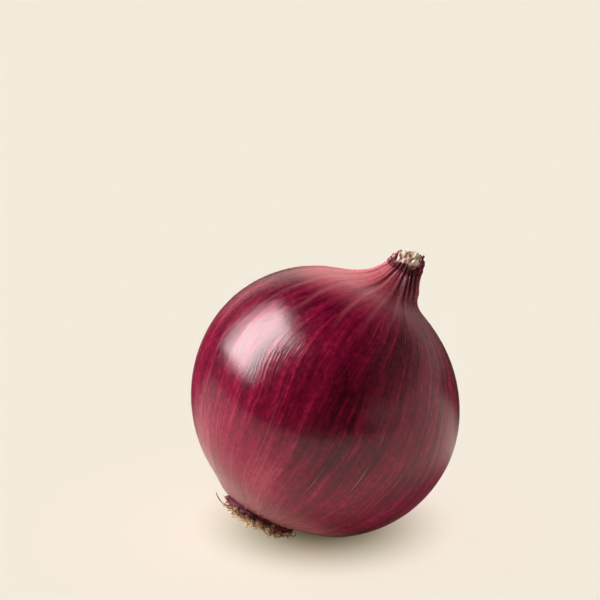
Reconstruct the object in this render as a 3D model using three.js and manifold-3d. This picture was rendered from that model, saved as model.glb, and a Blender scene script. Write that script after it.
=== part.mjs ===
// A red onion lying on its flank: a round bulb in glossy dry skin, pinched at the top
// into a short pleated neck, with a flat root plate and a tuft of dry roots below.
// Millimetres, +Z up. The origin is the centre of the small flat spot it rests on.
// The bulb is shaped upright in its own frame, centre at the origin and neck towards +Z,
// and its group then leans it over, so that heading 0 there is the downhill side.
import * as THREE from "three";
import { mergeVertices } from "three/addons/utils/BufferGeometryUtils.js";
import Module from "manifold-3d";

// Bulb
const bulbRadius = 40; // at the equator
const crownHeight = 37.8; // equator to where the dome would close above
const footDepth = 39; // equator to where the dome would close below
const aroundSteps = 48;

// Neck
const shoulderDrop = 2.9; // below the dome's top, where the flare begins
const flareRise = 7.5; // height over which the dome turns into the neck
const neckRadius = 6;
const neckLength = 4.8;
const mouthRadius = 4.5;
const rimWidth = 0.8; // thickness of the dried skins round the mouth
const mouthDepth = 1.8;
const mouthRise = 2.2; // how far the mouth's slant lifts one side and lowers the other
const mouthHeading = 40; // degrees, the side where the rim stands highest
const rimRag = 0.35; // depth of the tears in the rim
const pleatCount = 12;
const pleatDepth = 0.45;

// How the middle of the bulb wanders off its straight axis, all towards swayHeading
const swayHeading = -31; // degrees
const shoulderSway = -1.9;
const neckSway = 2.7;
const footSway = 1.3;
const rootSway = -1.5;
const rootBlend = 5; // height over which the foot's sway turns into the root's

// Stance
const leanAngle = 30; // degrees from upright
const leanHeading = 25; // degrees from +X towards +Y
const flatRadius = 8; // the flat spot it rests on

// Dried leaf bases, which fill the mouth
const leafBaseCount = 4;
const leafBaseHeight = 3.9;

// Torn flakes of skin round the neck
const flakeCount = 7;
const flakeThickness = 0.35;
const flakeLength = 5;
const flakeFoot = 3.1; // how far below the mouth a flake is rooted
const flakeCurl = 0.55; // how far a flake's top edge stands away from the neck
const flakeCover = 0.84; // share of its spacing that a flake covers

// Root plate
const plateRadius = 10.4;
const plateThickness = 1.7;
const plateCrown = 1; // how far the plate bulges at its middle
const plateSink = 1.2; // how deep its back lies inside the bulb's foot

// Torn skin round the root plate, on the sides that are off the ground
const rootSkinCount = 7;
const rootSkinThickness = 0.4;
const rootSkinLength = 2.6;
const rootSkinLean = 0.7; // how far its torn edge stands outwards
const rootSkinSpread = 230; // degrees round the plate, centred on the uphill side
const rootSkinCover = 0.76; // share of its spacing that a strip covers

// Roots
const rootCount = 26;
const rootThickness = 0.9;
const rootLength = 4.8;
const rootMargin = 2.2; // bare edge of the plate, outside the roots
const strayRootThickness = 0.6;
const strayRootReach = 6.6; // how far the one long root runs out past the others
const strayRootDip = 2.6; // how far it hangs before it curls up

// Clearances
const pieceGap = 0.3; // between pieces that touch
const groundGap = 0.4; // below the roots and loose skin

const colours = {
  skin: 0x7a1430,
  looseSkin: 0x4e1022,
  leafBase: 0xc9bd92,
  plate: 0x7d5f41,
  root: 0xb0906a,
};

// Heights and radii that follow from the sizes above
const shoulderHeight = crownHeight - shoulderDrop;
const neckHeight = shoulderHeight + flareRise;
const mouthHeight = neckHeight + neckLength;
const mouthInside = mouthRadius - rimWidth;
const plateEdgeHeight = -footDepth * Math.sqrt(1 - (plateRadius / bulbRadius) ** 2);
const rootFieldRadius = plateRadius - rootMargin;

const { clamp, degToRad, lerp, mapLinear, smoothstep } = THREE.MathUtils;
const wasm = await Module();
wasm.setup();

// ---- helpers ----

function finish(colour, roughness) {
  return new THREE.MeshStandardMaterial({ color: colour, roughness, metalness: 0 });
}

// The same shape with the vertices of neighbouring faces shared.
function welded(geometry) {
  const plain = geometry.clone();
  plain.deleteAttribute("normal");
  plain.deleteAttribute("uv");
  return mergeVertices(plain, 1e-4);
}

function flatShaded(geometry) {
  const faces = geometry.toNonIndexed();
  faces.computeVertexNormals();
  return faces;
}

function toSolid(geometry) {
  const shared = welded(geometry);
  return new wasm.Manifold(
    new wasm.Mesh({
      numProp: 3,
      vertProperties: new Float32Array(shared.attributes.position.array),
      triVerts: new Uint32Array(shared.index.array),
    }),
  );
}

function toGeometry(solid) {
  const cut = solid.getMesh();
  const geometry = new THREE.BufferGeometry();
  geometry.setAttribute("position", new THREE.BufferAttribute(cut.vertProperties, 3));
  geometry.setIndex(new THREE.BufferAttribute(cut.triVerts, 1));
  return flatShaded(geometry);
}

// Moves every vertex of a geometry to where the given function puts it.
function reshaped(geometry, place) {
  const positions = geometry.attributes.position;
  const point = new THREE.Vector3();
  for (let i = 0; i < positions.count; i++) {
    point.fromBufferAttribute(positions, i);
    place(point);
    positions.setXYZ(i, point.x, point.y, point.z);
  }
  return flatShaded(welded(geometry));
}

// A turned shape about +Z from (radius, height) points that run from bottom to top.
function turned(outline, segments) {
  return new THREE.LatheGeometry(outline, segments).rotateX(Math.PI / 2);
}

// A steady value from -1 to 1 for a numbered piece, so that no two grow quite alike.
function unevenness(piece, trait) {
  return Math.sin(piece * 2.4 + trait * 1.7 + 0.6);
}

// ---- the bulb's surface ----

// Outline from the foot to the mouth's rim as (radius, height) points.
function bulbOutline(domeSteps, flareSteps) {
  const shoulderTurn = Math.asin(shoulderHeight / crownHeight);
  const foot = new THREE.EllipseCurve(0, 0, bulbRadius, footDepth, -Math.PI / 2, 0);
  const crown = new THREE.EllipseCurve(0, 0, bulbRadius, crownHeight, 0, shoulderTurn);
  const shoulder = crown.getPoint(1);
  const neckFoot = new THREE.Vector2(neckRadius, neckHeight);
  const mouth = new THREE.Vector2(mouthRadius, mouthHeight);
  const leaving = crown.getTangent(1).multiplyScalar(flareRise * 0.6);
  const arriving = neckFoot.clone().sub(mouth).setLength(flareRise * 0.5);
  const flare = new THREE.CubicBezierCurve(
    shoulder,
    shoulder.clone().add(leaving),
    neckFoot.clone().add(arriving),
    neckFoot,
  );
  const neck = new THREE.LineCurve(neckFoot, mouth);
  return [
    ...foot.getPoints(domeSteps),
    ...crown.getPoints(domeSteps).slice(1),
    ...flare.getPoints(flareSteps).slice(1),
    ...neck.getPoints(3).slice(1),
  ];
}

const fineOutline = bulbOutline(60, 40);

// Radius of the outline at a height, with its end radii beyond its ends.
function skinRadius(height) {
  const above = fineOutline.findIndex((point) => point.y >= height);
  if (above < 0) return mouthRadius;
  if (above === 0) return fineOutline[0].x;
  const [low, high] = [fineOutline[above - 1], fineOutline[above]];
  return mapLinear(height, low.y, high.y, low.x, high.x);
}

// Moves a point sideways as the bulb's middle is moved at that height.
function swayed(point, height) {
  const footSteady = footDepth - rootBlend - 1;
  const above = (shoulderSway * height) / shoulderHeight;
  const below = (-footSway * height) / footSteady;
  const neckShare = smoothstep(height, shoulderHeight - 1, neckHeight - 1.5);
  const rootShare = smoothstep(-height, footSteady, footDepth - 1);
  const upper = lerp(height > 0 ? above : below, neckSway, neckShare);
  const sway = lerp(upper, rootSway, rootShare);
  point.x += sway * Math.cos(degToRad(swayHeading));
  point.y += sway * Math.sin(degToRad(swayHeading));
  return point;
}

// Change of radius by the pleats, which start on the flare and are deepest at the mouth.
function pleat(height, heading) {
  const share = smoothstep(height, shoulderHeight, mouthHeight);
  return (-pleatDepth * share * (1 + Math.cos(pleatCount * heading))) / 2;
}

// How much higher or lower the slanting mouth lies at this radius and heading.
function mouthSlant(radius, heading) {
  return (mouthRise * radius * Math.cos(heading - degToRad(mouthHeading))) / mouthRadius;
}

// How much higher or lower the torn rim stands on this side.
function mouthShift(height, heading) {
  const share = smoothstep(height, neckHeight, mouthHeight);
  const rag = rimRag * (Math.sin(5 * heading + 1) + Math.sin(8 * heading));
  return share * (mouthSlant(mouthRadius, heading) + rag);
}

// The point on the skin at a height and heading, or that far outside it.
function skinPoint(height, heading, outside = 0) {
  const radius = skinRadius(height) + pleat(height, heading) + outside;
  const point = new THREE.Vector3(
    radius * Math.cos(heading),
    radius * Math.sin(heading),
    height + mouthShift(height, heading),
  );
  return swayed(point, height);
}

// ---- stance: the lowest place of the skin becomes the flat spot ----

const stance = new THREE.Group();
stance.rotation.set(0, degToRad(leanAngle), degToRad(leanHeading), "ZYX");

function lowestSkinPoint() {
  const lowest = new THREE.Vector3(0, 0, Infinity);
  for (let height = -footDepth; height < 0; height += 0.25) {
    for (let turn = -60; turn <= 60; turn += 1) {
      const point = skinPoint(height, degToRad(turn)).applyEuler(stance.rotation);
      if (point.z < lowest.z) lowest.copy(point);
    }
  }
  return lowest;
}

const flatDepth = bulbRadius - Math.sqrt(bulbRadius ** 2 - flatRadius ** 2);
const touch = lowestSkinPoint();
stance.position.set(-touch.x, -touch.y, -touch.z - flatDepth);
stance.updateMatrix();
const toBulbFrame = stance.matrix.clone().invert();

// All the space below the ground, in the bulb's own frame.
function groundBlock() {
  const block = new THREE.BoxGeometry(4 * bulbRadius, 4 * bulbRadius, 2 * bulbRadius);
  return toSolid(block.translate(0, 0, -bulbRadius).applyMatrix4(toBulbFrame));
}

// Keeps a point of the bulb's frame at least this high above the ground.
function liftedOffGround(point, height) {
  const standing = point.clone().applyMatrix4(stance.matrix);
  standing.z = Math.max(standing.z, height);
  return standing.applyMatrix4(toBulbFrame);
}

// ---- bulb ----

// Middle of the root plate's back face, which lies inside the bulb's foot.
const plateBack = swayed(new THREE.Vector3(0, 0, plateEdgeHeight + plateSink), -footDepth);

// The round pocket in the foot that takes the plate.
function seatCutter() {
  const seatRadius = plateRadius + pieceGap;
  const outline = [
    new THREE.Vector2(0, -footDepth),
    new THREE.Vector2(seatRadius, -footDepth),
    new THREE.Vector2(seatRadius, pieceGap),
    new THREE.Vector2(0, pieceGap),
  ];
  return toSolid(turned(outline, 40).translate(plateBack.x, plateBack.y, plateBack.z));
}

function makeBulb() {
  const mouthFloor = mouthHeight - mouthDepth;
  const outline = [
    ...bulbOutline(12, 7),
    new THREE.Vector2(mouthInside, mouthHeight),
    new THREE.Vector2(mouthInside, mouthFloor),
    new THREE.Vector2(0, mouthFloor),
  ];
  outline[0].x = 0;
  const whole = reshaped(turned(outline, aroundSteps), (point) => {
    const heading = Math.atan2(point.y, point.x);
    const height = point.z;
    let radius = Math.hypot(point.x, point.y);
    const inMouth = height > neckHeight && radius < mouthInside + rimWidth / 4;
    const onFloor = inMouth && height < mouthHeight - mouthDepth / 2;
    const shift = onFloor ? mouthSlant(radius, heading) : mouthShift(height, heading);
    if (!inMouth) radius += pleat(height, heading);
    point.set(radius * Math.cos(heading), radius * Math.sin(heading), height + shift);
    swayed(point, height);
  });
  return toGeometry(toSolid(whole).subtract(groundBlock()).subtract(seatCutter()));
}

// ---- neck: leaf bases in the mouth, torn flakes round it ----

// A rounded stub standing on the mouth's floor, one of a ring that fills the mouth.
function makeLeafBase(index) {
  const half = Math.sin(Math.PI / leafBaseCount);
  const widest = ((mouthInside - pieceGap) * half - pieceGap / 2) / (1 + half);
  const ring = mouthInside - pieceGap - widest;
  const heading = ((index + 0.35) / leafBaseCount) * 2 * Math.PI;
  const tall = leafBaseHeight * (1 + 0.12 * unevenness(index, 1));
  const bottom = mouthHeight - mouthDepth + mouthSlant(ring, heading) + pieceGap * 1.5;
  const stub = new THREE.SphereGeometry(1, 10, 8).rotateX(Math.PI / 2);
  return reshaped(stub, (point) => {
    const narrowing = 0.9 - 0.1 * point.z;
    const x = ring * Math.cos(heading) + point.x * widest * narrowing;
    const y = ring * Math.sin(heading) + point.y * widest * narrowing;
    point.set(x, y, bottom + ((point.z + 1) / 2) * tall);
    swayed(point, mouthHeight);
  });
}

// A torn strip that follows the neck upwards and stands off it at its top edge.
function makeFlake(index) {
  const spacing = (2 * Math.PI) / flakeCount;
  const middle = (index + 0.5 + 0.08 * unevenness(index, 4)) * spacing;
  const start = mouthHeight - flakeFoot * (1 + 0.15 * unevenness(index, 2));
  const length = flakeLength * (1 + 0.22 * unevenness(index, 3));
  const strip = new THREE.BoxGeometry(1, 1, 1, 6, 4, 1);
  return reshaped(strip, (point) => {
    const across = point.x;
    const along = point.y + 0.5;
    const inward = 0.5 - point.z;
    const torn = 1 - 0.45 * Math.abs(across) - 0.12 * (1 + Math.sin(9 * across + index));
    const height = start + length * along * torn;
    const heading = middle + across * spacing * flakeCover * (1 - 0.35 * along);
    const curl = flakeCurl * along ** 2 * (1 + 0.4 * unevenness(index, 5));
    const outside = pieceGap + pleatDepth / 2 + flakeThickness * (1 - inward) + curl;
    point.copy(skinPoint(Math.min(height, mouthHeight), heading, outside));
    point.z += Math.max(0, height - mouthHeight);
  });
}

// ---- roots ----

// Distance of the plate's outer face below its back, at a radius.
function plateFace(radius) {
  return plateThickness - plateCrown * clamp(radius / plateRadius, 0, 1) ** 2;
}

function makeRootPlate() {
  const steps = 5;
  const outline = [];
  for (let step = 0; step <= steps; step++) {
    const radius = (plateRadius * step) / steps;
    outline.push(new THREE.Vector2(radius, -plateFace(radius)));
  }
  outline.push(new THREE.Vector2(plateRadius, 0), new THREE.Vector2(0, 0));
  const disc = turned(outline, 40).translate(plateBack.x, plateBack.y, plateBack.z);
  return toGeometry(toSolid(disc).subtract(groundBlock()));
}

const rootSkinSpacing = degToRad(rootSkinSpread) / rootSkinCount;

// A short torn strip of skin that stands round the root plate, pointing down.
function makeRootSkin(index) {
  const middle = Math.PI + (index - (rootSkinCount - 1) / 2) * rootSkinSpacing;
  const inner = plateRadius + pieceGap * 2.5;
  const start = plateEdgeHeight - pieceGap * 2;
  const length = rootSkinLength * (1 + 0.25 * unevenness(index, 6));
  const strip = new THREE.BoxGeometry(1, 1, 1, 5, 3, 1);
  return reshaped(strip, (point) => {
    const across = point.x;
    const along = point.y + 0.5;
    const outward = 0.5 - point.z;
    const torn = 1 - 0.5 * Math.abs(across) - 0.15 * Math.sin(8 * across + index);
    const heading = middle + across * rootSkinSpacing * rootSkinCover;
    const radius = inner + rootSkinThickness * outward + rootSkinLean * along;
    const height = start - length * along * torn;
    point.set(radius * Math.cos(heading), radius * Math.sin(heading), height);
    swayed(point, -footDepth);
  });
}

// A round fibre along the given points.
function makeFibre(points, thickness, steps) {
  const section = new THREE.Shape();
  section.absarc(0, 0, thickness / 2, 0, 2 * Math.PI);
  const fibre = new THREE.ExtrudeGeometry(section, {
    steps,
    curveSegments: 6,
    extrudePath: new THREE.CatmullRomCurve3(points),
  });
  return flatShaded(welded(fibre));
}

// Roots grow from the plate in a sunflower pattern and splay outwards, more at its rim.
function makeRoot(index) {
  const goldenTurn = Math.PI * (3 - Math.sqrt(5));
  const spread = Math.sqrt((index + 0.5) / rootCount);
  const radius = rootFieldRadius * spread;
  const length = rootLength * (1 + 0.18 * unevenness(index, 7));
  const swerve = (0.5 * unevenness(index, 8) * length) / (radius + length);
  const splay = degToRad(12 + 42 * spread);
  const start = plateBack.z - plateFace(radius) - pieceGap - rootThickness / 2;
  const points = [0, 0.25, 0.5, 0.75, 1].map((share) => {
    const tilt = splay * (0.6 + 0.4 * share);
    const heading = index * goldenTurn + swerve * share ** 2;
    const reach = radius + length * share * Math.sin(tilt);
    const point = new THREE.Vector3(
      plateBack.x + reach * Math.cos(heading),
      plateBack.y + reach * Math.sin(heading),
      start - length * share * Math.cos(tilt),
    );
    return liftedOffGround(point, groundGap + rootThickness / 2);
  });
  return makeFibre(points, rootThickness, 6);
}

// The one long root, which comes out between two strips of skin and curls up the bulb.
function makeStrayRoot() {
  const heading = Math.PI - rootSkinSpacing / 2;
  const start = rootFieldRadius + strayRootThickness;
  const face = plateBack.z - plateFace(start) - pieceGap;
  const points = [0, 0.25, 0.5, 0.75, 1].map((share) => {
    const reach = start + strayRootReach * share;
    const dip = strayRootDip * Math.sin(0.8 + 2.35 * share) - 0.6 * share;
    return new THREE.Vector3(
      plateBack.x + reach * Math.cos(heading),
      plateBack.y + reach * Math.sin(heading),
      face - dip,
    );
  });
  return makeFibre(points, strayRootThickness, 8);
}

// ---- the onion ----

function addPiece(name, geometry, material) {
  const mesh = new THREE.Mesh(geometry, material);
  mesh.name = name;
  stance.add(mesh);
}

function addSeries(name, count, make, colour, roughness) {
  for (let index = 0; index < count; index++) {
    const number = String(index + 1).padStart(2, "0");
    addPiece(`${name}_${number}`, make(index), finish(colour, roughness));
  }
}

addPiece("bulb", makeBulb(), finish(colours.skin, 0.35));
addSeries("leaf_base", leafBaseCount, makeLeafBase, colours.leafBase, 0.8);
addSeries("neck_flake", flakeCount, makeFlake, colours.looseSkin, 0.6);
addPiece("root_plate", makeRootPlate(), finish(colours.plate, 0.9));
addSeries("root_skin", rootSkinCount, makeRootSkin, colours.looseSkin, 0.6);
addSeries("root", rootCount, makeRoot, colours.root, 0.85);
addPiece("root_stray", makeStrayRoot(), finish(colours.root, 0.85));

const onion = new THREE.Group();
onion.name = "onion";
onion.add(stance);

export default onion;
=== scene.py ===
import math

import bpy
import numpy as np
from mathutils import Matrix, Vector


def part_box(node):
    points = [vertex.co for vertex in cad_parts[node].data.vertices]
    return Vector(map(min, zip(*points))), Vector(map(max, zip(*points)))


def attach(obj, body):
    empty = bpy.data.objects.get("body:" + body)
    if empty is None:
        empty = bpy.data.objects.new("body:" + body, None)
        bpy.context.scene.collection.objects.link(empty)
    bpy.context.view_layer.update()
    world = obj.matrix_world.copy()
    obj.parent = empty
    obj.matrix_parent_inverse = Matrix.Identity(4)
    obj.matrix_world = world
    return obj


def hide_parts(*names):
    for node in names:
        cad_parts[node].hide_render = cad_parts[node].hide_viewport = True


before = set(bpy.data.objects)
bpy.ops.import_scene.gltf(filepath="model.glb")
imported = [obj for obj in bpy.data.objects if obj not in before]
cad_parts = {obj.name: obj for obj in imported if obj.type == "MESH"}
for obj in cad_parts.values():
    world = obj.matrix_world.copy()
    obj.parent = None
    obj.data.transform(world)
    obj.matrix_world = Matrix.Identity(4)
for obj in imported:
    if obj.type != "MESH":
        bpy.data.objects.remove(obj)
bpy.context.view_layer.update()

mm = 0.001
chance = np.random.RandomState(11)
print("frame loaded:", len(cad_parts), "CAD nodes")

# How the onion lies and the sizes that its pieces share, in millimetres and degrees
onion = dict(
    lean=30, heading=25,
    radius=40.0, crown=37.8, foot=39.0,
    shoulderDrop=2.9, flareRise=7.5, flareLeaving=0.6, flareArriving=0.5, neckRadius=6.0, neckLength=4.8,
    mouthRadius=4.5, rimWidth=0.8, lipRise=0.12, mouthDepth=2.4, mouthRise=2.2, mouthHeading=40,
    swayHeading=-31, shoulderSway=-1.9, neckSway=2.7, footSway=1.3, rootSway=-1.5, rootBlend=5.0,
    plateRadius=10.4, plateThickness=1.7, plateCrown=1.0, plateMiddle=-37.31, seatGap=0.35,
    groundGap=0.35,
)
goldenTurn = math.pi * (3 - math.sqrt(5))
shoulder = onion["crown"] - onion["shoulderDrop"]
neckHeight = shoulder + onion["flareRise"]
mouthHeight = neckHeight + onion["neckLength"]
mouthInside = onion["mouthRadius"] - onion["rimWidth"]
swayTurn = math.radians(onion["swayHeading"])
plateBack = onion["plateMiddle"] + onion["plateThickness"] / 2

# The upright onion is leaned over, then moved so that its root plate lies on the CAD one
leaning = (
    Matrix.Rotation(math.radians(onion["heading"]), 4, "Z")
    @ Matrix.Rotation(math.radians(onion["lean"]), 4, "Y")
)
plateLow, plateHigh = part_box("root_plate")
plateOff = Vector((math.cos(swayTurn), math.sin(swayTurn), 0)) * onion["rootSway"]
plateSpot = (plateOff + Vector((0, 0, onion["plateMiddle"]))) * mm
centre = (plateLow + plateHigh) / 2 - leaning @ plateSpot
asItLies = Matrix.Translation(centre) @ leaning
upright = asItLies.inverted()


# Helpers that select pieces and read or move their points
def deselectAll():
    if bpy.context.object and bpy.context.object.mode != "OBJECT":
        bpy.ops.object.mode_set(mode="OBJECT")
    bpy.ops.object.select_all(action="DESELECT")


def pick(piece):
    deselectAll()
    piece.select_set(True)
    bpy.context.view_layer.objects.active = piece


def edit(piece):
    pick(piece)
    bpy.ops.object.mode_set(mode="EDIT")
    bpy.ops.mesh.select_mode(type="VERT")
    bpy.ops.mesh.select_all(action="SELECT")


def doneEditing():
    bpy.ops.object.mode_set(mode="OBJECT")


def cleaned(piece, gap=0.0005 * mm):
    edit(piece)
    bpy.ops.mesh.remove_doubles(threshold=gap)
    bpy.ops.mesh.normals_make_consistent(inside=False)
    doneEditing()


def pointsOf(piece):
    spots = np.empty(len(piece.data.vertices) * 3)
    piece.data.vertices.foreach_get("co", spots)
    return spots.reshape(-1, 3)


def setPoints(piece, spots):
    piece.data.vertices.foreach_set("co", np.asarray(spots, float).ravel())
    piece.data.update()


def setNumber(piece, name, values):
    layer = piece.data.attributes.new(name, "FLOAT", "POINT")
    layer.data.foreach_set("value", np.asarray(values, np.float32))


def setVector(piece, name, values):
    layer = piece.data.attributes.new(name, "FLOAT_VECTOR", "POINT")
    layer.data.foreach_set("vector", np.asarray(values, np.float32).ravel())


def smoothStep(value, low, high):
    share = np.clip((value - low) / (high - low), 0, 1)
    return share * share * (3 - 2 * share)


def laidDown(piece):
    piece.data.transform(asItLies)
    piece.data.update()


def joinTo(piece, slotName, *nodes):
    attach(piece, "root")
    if nodes:
        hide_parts(*nodes)


def applyAll(piece):
    pick(piece)
    for modifier in list(piece.modifiers):
        bpy.ops.object.modifier_apply(modifier=modifier.name)


# The bulb's form: its outline from the root up, its sway and its pleats
def bulbOutline(domeSteps, flareSteps, neckSteps):
    radius, crown, foot = onion["radius"], onion["crown"], onion["foot"]
    footTurn = math.acos((onion["plateRadius"] + onion["seatGap"]) / radius)
    crownTurn = math.asin(shoulder / crown)
    line = []
    for turn in np.linspace(-footTurn, 0, domeSteps):
        line.append((radius * math.cos(turn), foot * math.sin(turn)))
    for turn in np.linspace(0, crownTurn, domeSteps)[1:]:
        line.append((radius * math.cos(turn), crown * math.sin(turn)))
    start = Vector(line[-1])
    end = Vector((onion["neckRadius"], neckHeight))
    leaving = Vector((-radius * math.sin(crownTurn), crown * math.cos(crownTurn))).normalized()
    arriving = (end - Vector((onion["mouthRadius"], mouthHeight))).normalized()
    first = start + leaving * onion["flareRise"] * onion["flareLeaving"]
    second = end + arriving * onion["flareRise"] * onion["flareArriving"]
    for t in np.linspace(0, 1, flareSteps)[1:]:
        spot = (1 - t)**3 * start + 3 * (1 - t)**2 * t * first + 3 * (1 - t) * t**2 * second + t**3 * end
        line.append(tuple(spot))
    for t in np.linspace(0, 1, neckSteps)[1:]:
        line.append((
            onion["neckRadius"] + (onion["mouthRadius"] - onion["neckRadius"]) * t,
            neckHeight + onion["neckLength"] * t,
        ))
    return line


def mouthOutline():
    lip = onion["rimWidth"] / 3
    floor = mouthHeight - onion["mouthDepth"]
    line = [(onion["mouthRadius"] - lip, mouthHeight + onion["lipRise"]), (mouthInside, mouthHeight)]
    line += [(mouthInside, mouthHeight - onion["mouthDepth"] * t) for t in (0.3, 0.65, 1)]
    return line + [(mouthInside * 0.5, floor), (0, floor)]


skinLine = np.array(bulbOutline(domeSteps=106, flareSteps=34, neckSteps=28))
skinTurns = np.arctan2(skinLine[:, 1], skinLine[:, 0])
skinLengths = np.concatenate(([0], np.cumsum(np.hypot(*np.diff(skinLine, axis=0).T))))


def swayAt(height):
    steady = onion["foot"] - onion["rootBlend"] - 1
    above = onion["shoulderSway"] * height / shoulder
    below = -onion["footSway"] * height / steady
    dome = np.where(height > 0, above, below)
    neckShare = smoothStep(height, shoulder - 1, neckHeight - 1.5)
    rootShare = smoothStep(-height, steady, onion["foot"] - 1)
    upper = dome + (onion["neckSway"] - dome) * neckShare
    return upper + (onion["rootSway"] - upper) * rootShare


def swayed(x, y, height):
    way = swayAt(height)
    return x + way * math.cos(swayTurn), y + way * math.sin(swayTurn)


# Folds of the neck: uneven grooves and thin raised ribs that run out onto the shoulder
pleats = dict(
    grooves=38, ribs=20, depth=0.85, ribHeight=0.2,
    fill=1.15, fillHeading=149, fillHeight=40.2, fillSpread=2.7,
)
dice = np.random.RandomState(5)


def neckLines(count, widths, starts, sizes):
    turns = (np.arange(count) + dice.uniform(-0.42, 0.42, count)) / count * math.tau
    return list(zip(turns, *(dice.uniform(*limits, count) for limits in (widths, starts, sizes))))


grooveLines = neckLines(pleats["grooves"], widths=(0.03, 0.075), starts=(22, 38), sizes=(0.25, 1.0))
ribLines = neckLines(pleats["ribs"], widths=(0.024, 0.036), starts=(14, 34), sizes=(0.5, 1.0))


def lineSum(lines, height, turn):
    # How deep a place lies in the lines: 0 between them, up to 1 on a full one
    total = 0
    for middle, width, start, size in lines:
        away = np.angle(np.exp(1j * (turn - middle - 0.05 * np.sin(height / 6 + middle * 3))))
        spread = width * (0.7 + 0.3 * smoothStep(height, 30, 43))
        total = total + size * np.exp(-(away / spread)**2) * smoothStep(height, start, start + 11)
    return np.clip(total, 0, 1)


def pleatShift(height, turn):
    groove = lineSum(grooveLines, height, turn) * smoothStep(height, 26, 45)
    rib = lineSum(ribLines, height, turn) * smoothStep(height, 20, 42)
    fillTurn = 0.5 + 0.5 * np.cos(turn - math.radians(pleats["fillHeading"]))
    away = (height - pleats["fillHeight"]) / pleats["fillSpread"]
    fill = pleats["fill"] * np.exp(-away**2) * fillTurn
    return fill - pleats["depth"] * groove + pleats["ribHeight"] * rib


def mouthSlant(turn, radius):
    # The mouth slants, so a place in it stands higher or lower by its heading and radius
    rise = onion["mouthRise"] * np.cos(turn - math.radians(onion["mouthHeading"]))
    return rise * radius / onion["mouthRadius"]


def mouthShift(height, turn):
    rag = 0.3 * (np.sin(5 * turn + 1) + np.sin(8 * turn))
    rag = rag + 0.15 * np.sin(21 * turn) + 0.12 * np.sin(37 * turn + 1)
    slant = mouthSlant(turn, onion["mouthRadius"])
    return smoothStep(height, neckHeight, mouthHeight) * (slant + rag)


def skinPoint(height, turn, outside):
    # The place on the swayed skin at a height and heading, or that far outside it
    capped = np.minimum(height, mouthHeight)
    radius = np.interp(capped, skinLine[:, 1], skinLine[:, 0])
    radius = radius + pleatShift(capped, turn) + outside
    x, y = swayed(radius * np.cos(turn), radius * np.sin(turn), capped)
    return np.stack([x, y, height + mouthShift(capped, turn)], axis=-1)


# Materials: small helpers, then one function for each finish
def newMaterial(name):
    paint = bpy.data.materials.new(name)
    paint.use_nodes = True
    return paint, paint.node_tree, paint.node_tree.nodes["Principled BSDF"]


def addNode(tree, kind, inputs=None, **settings):
    node = tree.nodes.new(kind)
    for name, value in settings.items():
        setattr(node, name, value)
    for name, value in (inputs or {}).items():
        plug(tree, value, node.inputs[name])
    return node


def plug(tree, value, socket):
    if isinstance(value, bpy.types.NodeSocket):
        tree.links.new(value, socket)
    else:
        socket.default_value = value


def attribute(tree, name, output="Fac"):
    return addNode(tree, "ShaderNodeAttribute", attribute_name=name).outputs[output]


def vectors(tree, operation, first, second, output=0):
    inputs = {0: first, 1: second}
    return addNode(tree, "ShaderNodeVectorMath", inputs, operation=operation).outputs[output]


def stretched(tree, vector, scales):
    return vectors(tree, "MULTIPLY", vector, scales)


def pieceSpots(tree):
    return addNode(tree, "ShaderNodeTexCoord").outputs["Object"]


def noise(tree, vector, scale, detail, rough=0.5, output="Fac"):
    inputs = {"Vector": vector, "Scale": scale, "Detail": detail, "Roughness": rough}
    return addNode(tree, "ShaderNodeTexNoise", inputs).outputs[output]


def maths(tree, operation, first, second=0.0, third=0.0):
    inputs = {0: first, 1: second, 2: third}
    return addNode(tree, "ShaderNodeMath", inputs, operation=operation).outputs[0]


def between(tree, value, low, high, bottom=0.0, top=1.0, smooth=True):
    kind = "SMOOTHSTEP" if smooth else "LINEAR"
    inputs = {"Value": value, "From Min": low, "From Max": high, "To Min": bottom, "To Max": top}
    return addNode(tree, "ShaderNodeMapRange", inputs, interpolation_type=kind).outputs[0]


def ramp(tree, value, stops):
    node = addNode(tree, "ShaderNodeValToRGB", {"Fac": value})
    marks = node.color_ramp.elements
    while len(marks) < len(stops):
        marks.new(0.5)
    for mark, (place, colour) in zip(marks, stops):
        mark.position = place
        mark.color = (*colour, 1)
    return node.outputs["Color"]


def mixed(tree, share, first, second, blend="MIX"):
    node = addNode(tree, "ShaderNodeMix", data_type="RGBA", blend_type=blend)
    for socket, value in ((0, share), (6, first), (7, second)):
        if isinstance(value, tuple):
            value = (*value, 1)
        plug(tree, value, node.inputs[socket])
    return node.outputs[2]


def bumped(tree, shader, height, depth):
    node = addNode(tree, "ShaderNodeBump", {"Height": height, "Distance": depth, "Strength": 1.0})
    tree.links.new(node.outputs["Normal"], shader.inputs["Normal"])


bulbFinish = dict(
    deep=(0.045, 0.0008, 0.008),
    maroon=(0.11, 0.0016, 0.016),
    crimson=(0.21, 0.0026, 0.03),
    rose=(0.35, 0.010, 0.056),
    pink=(0.50, 0.055, 0.115),
    pale=(0.66, 0.24, 0.27),
    mauve=(0.54, 0.20, 0.22),
    dusk=(0.37, 0.11, 0.13),
    ridge=(0.24, 0.014, 0.028),
    # Pink for the neck's lit side: partly the skin's own colour, partly painted light
    flushAndPaintedLight=(0.80, 0.16, 0.20),
    # Painted shade for the neck's grooves and the inside of the mouth
    groove=(0.05, 0.0015, 0.008),
    roughness=0.2, gloss=1.47, bumpDepth=0.045 * mm,
    patchTone=0.6, broadTone=0.64, veinTone=0.24, fineTone=0.42,
    threadTone=0.26, mottleTone=0.6, grainTone=0.24, firstTone=0.34,
)


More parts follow.
